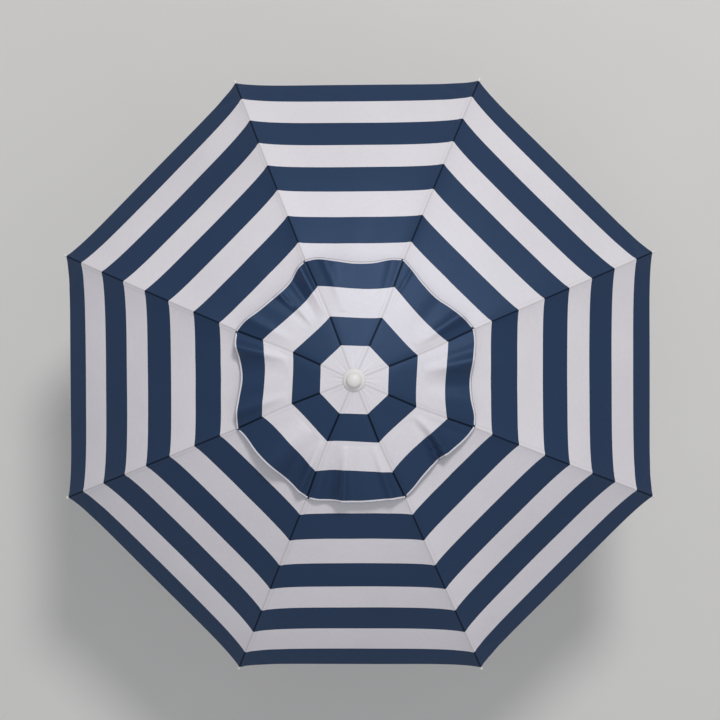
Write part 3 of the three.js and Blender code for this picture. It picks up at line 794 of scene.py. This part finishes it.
def binding(gore):
    """Tape folded over the vent's hem, in two halves."""
    for side in (1, -1):
        number = half_rib(gore, side)
        shares = half_shares(side)
        vertices, uvs = [], []
        for share in shares:
            near = np.clip(np.array([share, share, share + BINDING_STEP, share - BINDING_STEP]), 0, 1)
            arcs = VENT_HEM_ARC - np.array([0, BINDING_WIDTH, 0, 0])
            edge, inside, ahead, behind = vent_surface(gore, near, arcs)
            out = (edge - inside) / np.linalg.norm(edge - inside)
            up = np.cross(out, ahead - behind)
            up *= np.sign(up[2]) / np.linalg.norm(up)
            middle = edge - out * BINDING_WIDTH * 0.4
            for i in range(BINDING_SIDES):
                angle = 2 * math.pi * i / BINDING_SIDES
                flat, thick = (math.copysign(abs(x) ** 0.6, x) for x in (math.cos(angle), math.sin(angle)))
                vertices.append(middle + out * flat * BINDING_WIDTH / 2 + up * thick * BINDING_THICK / 2)
                uvs.append((share, 0.5 + 0.5 * flat))
        tape = solid(f"vent_binding_{number}_{'a' if side > 0 else 'b'}", vertices,
                     tube_faces(len(shares), BINDING_SIDES), rad(50), uvs)
        finished(tape, f"rib_{number}", "vent_cloth", "binding")
        fold_away(tape)


def canopy():
    for gore in range(RIB_COUNT):
        layer_gore("main", main_surface, gore, MAIN_START_ARC, HEM_ARC)
        layer_gore("vent", vent_surface, gore, VENT_START_ARC, VENT_HEM_ARC)
        binding(gore)
        seam("main", main_surface, gore + 1, MAIN_START_ARC, HEM_ARC)
        seam("vent", vent_surface, gore + 1, VENT_START_ARC, VENT_HEM_ARC)


def apex_patch():
    """The round of cloth under the finial's collar."""
    outer = 20.5 * MM
    low, high = VENT_LIFT - 0.8 * MM, VENT_LIFT + 0.8 * MM
    rim = np.linspace(BORE, outer, 7)
    profile = [(r, float(on_rib(r, low)[1])) for r in rim]
    profile += [(r, float(on_rib(r, high)[1])) for r in reversed(rim)]
    patch = revolved("apex_patch_cloth", profile, uvs=True)
    finished(patch, "root", "vent_cloth", replaces=["apex_patch"])


# ---- Finial ----

DOME_STEPS = 24
DOME_POWER = 1.12             # above 1, the knob's dome is more pointed than a half ellipse


def finial():
    """The stepped collar that clamps the cloth, and the knob on it."""
    edge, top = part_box("finial_collar")[1].xz
    cloth_top = VENT_LIFT + 1.2 * MM
    knob_low, knob_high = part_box("finial_knob")
    knob_radius, bottom = knob_high.x, knob_low.z
    inner_floor, outer_floor = (float(on_rib(radius, cloth_top)[1]) for radius in (BORE, edge))
    profile = [
        (BORE, inner_floor), (edge, outer_floor), (edge + 0.8 * MM, outer_floor + 0.8 * MM),
        (edge + 0.5 * MM, outer_floor + 2 * MM), (edge - 3.2 * MM, top - 2.2 * MM),
        (knob_radius + 2.8 * MM, top - 2 * MM), (knob_radius + 1.4 * MM, top), (BORE, top),
    ]
    collar = revolved("finial_collar_moulding", rounded(profile, 0.7 * MM), 128, smooth_angle=rad(30))
    finished(collar, "root", "white_plastic", replaces=["finial_collar"])

    neck = knob_radius - 2.2 * MM
    foot = [(0, bottom + 1 * MM), (neck, bottom), (neck, bottom + 1.4 * MM),
            (knob_radius - 0.4 * MM, bottom + 2 * MM), (knob_radius, bottom + 2.8 * MM)]
    profile = rounded(foot, 0.7 * MM)
    dome_start = bottom + 3 * MM
    for angle in np.linspace(0, math.pi / 2, DOME_STEPS + 1)[1:-1]:
        profile.append((knob_radius * math.cos(angle) ** DOME_POWER,
                        dome_start + (knob_high.z - dome_start) * math.sin(angle)))
    profile.append((0, knob_high.z))
    knob = revolved("finial_knob_moulding", profile, 128, smooth_angle=rad(30))
    finished(knob, "root", "white_plastic", replaces=["finial_knob"])


# ---- Shaft, grip and caps ----

WINDOW = (4.8 * MM, 13.6 * MM)  # width and height of a catch's window
GRIP_STEPS = 180
GRIP_PLACES = (0, 0.19, 0.53, 0.87, 1)
GRIP_SWELL = (-1.8, -0.8, 0, -2.0, -2.8)  # in mm, against its widest radius
GRIP_RINGS = 26               # over its whole length, though its ends stay plain
GRIP_PLAIN_ENDS = 0.12
RING_DEPTH = 0.55 * MM


def shaft():
    """The tube, with a window for each catch."""
    low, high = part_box("shaft")
    tube = revolved("shaft_tube", [(SHAFT_BORE, low.z), (SHAFT_RADIUS, low.z), (SHAFT_RADIUS, high.z),
                                   (SHAFT_BORE, high.z)], 64)
    across, up = WINDOW[0] / 2, WINDOW[1] / 2
    windows = []
    for node in ("top_catch", "bottom_catch"):
        middle = sum(corner.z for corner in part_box(node)) / 2
        windows.append(box_cutter((4 * MM, -across, middle - up), (9 * MM, across, middle + up)))
    cut_out(tube, windows)
    finished(tube, "root", "white_paint", replaces=["shaft"])


def grip():
    """A swelling sleeve with shallow rings."""
    low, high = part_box("grip")
    widest, length = high.x, high.z - low.z
    profile = [(BORE, low.z), (widest + GRIP_SWELL[0] * MM, low.z)]
    for t in np.linspace(0, 1, GRIP_STEPS + 1):
        radius = widest + smooth_through(t, GRIP_PLACES, GRIP_SWELL) * MM
        if GRIP_PLAIN_ENDS < t < 1 - GRIP_PLAIN_ENDS:
            radius -= RING_DEPTH * max(0.0, math.cos(2 * math.pi * t * GRIP_RINGS)) ** 3
        profile.append((radius, low.z + length * (0.004 + 0.992 * t)))
    profile.append((BORE, high.z))
    sleeve = revolved("grip_sleeve", profile, 96, smooth_angle=rad(50))
    finished(sleeve, "root", "navy_grip", replaces=["grip"])


def grip_ends():
    """The collar over the grip and the cap under it."""
    low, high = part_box("grip_collar")
    profile = [(BORE, low.z), (13 * MM, low.z), (13.4 * MM, low.z + 2.7 * MM),
               (12 * MM, low.z + 7.7 * MM), (9.4 * MM, high.z), (BORE, high.z)]
    collar = revolved("grip_collar_moulding", rounded(profile, 1.0 * MM), 96, smooth_angle=rad(30))
    finished(collar, "root", "white_plastic", replaces=["grip_collar"])
    profile = [(0, 0), (12.5 * MM, 0), (14.6 * MM, 1.2 * MM), (15.2 * MM, 4 * MM), (15 * MM, 9 * MM),
               (13.8 * MM, 12 * MM), (0, 12 * MM)]
    cap = revolved("butt_cap_moulding", rounded(profile, 0.9 * MM), 96, smooth_angle=rad(30))
    finished(cap, "root", "white_plastic", replaces=["butt_cap"])


# ---- Crown and runner ----


def slot_cutters(width, low, high):
    """Cutters for the slots that the ribs or the stretchers stand in."""
    return [box_cutter((15.5 * MM, -width / 2, low), (30 * MM, width / 2, high), rib_angle(k + 1))
            for k in range(RIB_COUNT)]


def crown():
    """The notched hub, with a groove for the wire that the ribs hinge on."""
    low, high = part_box("crown")
    edge, z0, z1 = high.x, low.z, high.z
    profile = [
        (BORE, z0), (11 * MM, z0), (13 * MM, z0 + 6 * MM), (edge - 1 * MM, z0 + 6 * MM),
        (edge, z0 + 7 * MM), (edge, z1 - 2.6 * MM), (edge - 1 * MM, z1 - 1.6 * MM),
        (14.5 * MM, z1 - 1.6 * MM), (13.5 * MM, z1), (BORE, z1),
    ]
    body = revolved("crown_moulding", rounded(profile, 0.5 * MM, 2), 128)
    radius, height = (float(x) for x in on_rib(PIVOT_ARC, -RIB_DROP))
    inside, outside = radius - WIRE_GROOVE / 2, radius + WIRE_GROOVE / 2
    floor, above = height - WIRE_GROOVE / 2, z1 + 1 * MM
    groove = revolved("cutter", [(inside, floor), (outside, floor), (outside, above), (inside, above)], 128)
    cut_out(body, [groove] + slot_cutters(CROWN_SLOT, z0 + 5 * MM, above))
    finished(body, "root", "white_plastic", replaces=["crown"])


def runner():
    """The sliding sleeve, with a notched head for the stretchers."""
    low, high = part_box("runner")
    edge, z0, z1 = high.x, low.z, high.z
    head = z1 - RUNNER_HEAD
    profile = [
        (BORE, z0), (15 * MM, z0), (15.6 * MM, z0 + 2 * MM), (12.6 * MM, z0 + 7 * MM),
        (12 * MM, z0 + 12 * MM), (12 * MM, head - 5 * MM), (14 * MM, head), (edge - 1 * MM, head),
        (edge, head + 1 * MM), (edge, z1 - 1 * MM), (edge - 1 * MM, z1), (BORE, z1),
    ]
    body = revolved("runner_moulding", rounded(profile, 0.8 * MM, 3), 128)
    keyway = box_cutter((0, -KEYWAY / 2, z0 - 1 * MM), (KEYWAY_DEPTH, KEYWAY / 2, z1 + 1 * MM))
    cut_out(body, [keyway] + slot_cutters(RUNNER_SLOT, head - 1 * MM, z1 + 1 * MM))
    finished(body, "runner", "white_plastic", replaces=["runner"])


# ---- Ribs ----

EYE_BORE, EYE_SIZE, EYE_LENGTH = 2.6 * MM, 6 * MM, 4 * MM
TIP_GAP = 0.3 * MM
TIE_ARCS = (300 * MM, 450 * MM, 600 * MM, 720 * MM)
TIE_TURNS, TIE_PITCH = 4, 0.9 * MM
TIE_LIFT = 0.6 * MM           # they stand off the rib's axis, because they take in the seam too
TIE_RADIUS = 2.75 * MM
TIE_STEPS, THREAD_SIDES = 14, 6
THREAD_RADIUS = 0.4 * MM


def rib_place(number, arc, lift=0.0):
    """A point of a rib's axis, or lifted off it."""
    radius, height = on_rib(arc, lift - RIB_DROP)
    return np.array([radius * math.cos(rib_angle(number)), radius * math.sin(rib_angle(number)), height])


def rib(number):
    """A round rod with an eye on the crown's wire, and a moulded tip."""
    turn = rib_angle(number)
    side = np.array([-math.sin(turn), math.cos(turn), 0])
    path = [rib_place(number, arc) for arc in np.linspace(PIVOT_ARC, RIB_END_ARC, 70)]
    bar = rod(f"rib_rod_{number}", path, side, RIB_RADIUS)
    inside, outside, half = EYE_BORE / 2, EYE_SIZE / 2, EYE_LENGTH / 2
    outline = [(inside, -half), (outside, -half), (outside, half), (inside, half)]
    eye = revolved("eye", rounded(outline, 0.4 * MM, 2), 32)
    stand(eye, number, PIVOT_ARC, Matrix.Rotation(math.pi / 2, 4, "X"))
    join_into(bar, eye)
    finished(bar, f"rib_{number}", "white_paint", replaces=[f"rib_{number}"])

    radius = 2.6 * MM
    profile = rounded([(0, 0), (radius - 0.4 * MM, 0), (radius, 1 * MM), (radius, 10 * MM),
                       (2.1 * MM, 12 * MM), (2.0 * MM, TIP_LENGTH - 2 * TIP_BALL + 0.3 * MM)], 0.5 * MM, 3)
    for angle in np.linspace(-0.9, math.pi / 2, 15)[1:-1]:
        profile.append((TIP_BALL * math.cos(angle), TIP_LENGTH - TIP_BALL + TIP_BALL * math.sin(angle)))
    profile.append((0, TIP_LENGTH))
    tip = revolved(f"rib_tip_moulding_{number}", profile, 32, smooth_angle=rad(40))
    stand(tip, number, RIB_END_ARC + TIP_GAP,
          Matrix.Rotation(math.pi / 2 + slope_at(RIB_END_ARC), 4, "Y"))
    finished(tip, f"rib_{number}", "white_plastic", replaces=[f"rib_tip_{number}"])
    ties(number, side)


def stand(obj, number, arc, tilt):
    """Places a turned piece on a rib's axis."""
    place = Matrix.Translation(Vector(rib_place(number, arc)))
    obj.data.transform(place @ Matrix.Rotation(rib_angle(number), 4, "Z") @ tilt)


def join_into(target, extra):
    """Adds another object's mesh to the target's, and removes it."""
    work = bmesh.new()
    work.from_mesh(target.data)
    work.from_mesh(extra.data)
    work.to_mesh(target.data)
    work.free()
    bpy.data.objects.remove(extra)


def ties(number, side):
    """Turns of thread that hold the seam down on the rib."""
    vertices, faces = [], []
    for arc in TIE_ARCS:
        centre = rib_place(number, arc, TIE_LIFT)
        ahead = rib_place(number, arc + 1 * MM, TIE_LIFT) - centre
        ahead /= np.linalg.norm(ahead)
        up = np.cross(ahead, side)
        up *= np.sign(up[2])
        for turn in range(TIE_TURNS):
            first = len(vertices)
            middle = centre + ahead * (turn - (TIE_TURNS - 1) / 2) * TIE_PITCH
            for i in range(TIE_STEPS):
                angle = 2 * math.pi * i / TIE_STEPS
                out = side * math.cos(angle) + up * math.sin(angle)
                for j in range(THREAD_SIDES):
                    small = 2 * math.pi * j / THREAD_SIDES
                    section = (out * math.cos(small) + ahead * math.sin(small)) * THREAD_RADIUS
                    vertices.append(middle + out * TIE_RADIUS + section)
            for i in range(TIE_STEPS):
                a, b = first + i * THREAD_SIDES, first + (i + 1) % TIE_STEPS * THREAD_SIDES
                for j in range(THREAD_SIDES):
                    k = (j + 1) % THREAD_SIDES
                    faces.append([a + j, a + k, b + k, b + j])
    thread = solid(f"rib_ties_{number}", vertices, faces, math.pi)
    finished(thread, f"rib_{number}", "main_cloth", "thread")


# ---- CAD nodes that keep their own shape ----


def dress_cad_nodes():
    """Softens the edges of the stretchers, brackets, catches and wire, and gives them their finish."""
    for name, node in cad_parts.items():
        if node.hide_render:
            continue
        node.data.materials.clear()
        node.data.materials.append(MATERIALS["white_paint" if name.startswith("stretcher") else "steel"])
        edge = node.modifiers.new("edge", "BEVEL")
        edge.width = 0.2 * MM
        edge.segments = 2
        edge.limit_method = "ANGLE"
        edge.angle_limit = rad(35)
        edge.harden_normals = False


# ---- Camera, light and floor ----


def camera():
    data = bpy.data.cameras.new("camera")
    data.sensor_width = SENSOR
    data.lens = LENS
    obj = bpy.data.objects.new("camera", data)
    obj.matrix_world = Matrix.Translation(CAMERA_PLACE) @ Euler(CAMERA_TILT, "XYZ").to_matrix().to_4x4()
    bpy.context.scene.collection.objects.link(obj)
    bpy.context.scene.camera = obj


def area_light(name, place, size, power, color=(1, 1, 1)):
    """A round light that faces the canopy."""
    data = bpy.data.lights.new(name, "AREA")
    data.shape = "DISK"
    data.size = size
    data.energy = power
    data.color = color
    obj = bpy.data.objects.new(name, data)
    obj.location = place
    obj.rotation_euler = (LIGHT_AIM - Vector(place)).to_track_quat("-Z", "Y").to_euler()
    bpy.context.scene.collection.objects.link(obj)


def studio():
    """A soft room, two lights and a plain pale floor."""
    scene = bpy.context.scene
    scene.view_settings.view_transform = "Standard"
    world = bpy.data.worlds.new("soft_room")
    world.use_nodes = True
    background = world.node_tree.nodes["Background"]
    background.inputs["Color"].default_value = (0.95, 0.97, 1.0, 1)
    background.inputs["Strength"].default_value = 0.42
    scene.world = world
    area_light("key", (0.65, 2.2, 4.4), 0.9, 87, (1.0, 0.985, 0.97))
    area_light("fill", (0.6, -2.2, 4.2), 3.0, 12)
    corners = [(x * FLOOR_REACH, y * FLOOR_REACH, 0) for x, y in ((-1, -1), (1, -1), (1, 1), (-1, 1))]
    floor = make_object("floor", corners, [[0, 1, 2, 3]], smooth=False)
    floor.location.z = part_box("butt_cap")[0].z - 0.5 * MM
    n = Nodes("floor")
    paint = n.mix(n.noise(1.5, 3.0), (0.74, 0.73, 0.715, 1), (0.80, 0.79, 0.775, 1))
    floor.data.materials.append(n.finish(paint, 0.8, n.bump(n.noise(60.0, 3.0), 1 * MM, 0.2)))


camera()
canopy()
apex_patch()
finial()
shaft()
grip()
grip_ends()
crown()
runner()
for rib_number in range(1, RIB_COUNT + 1):
    rib(rib_number)
dress_cad_nodes()
studio()

bpy.context.view_layer.update()
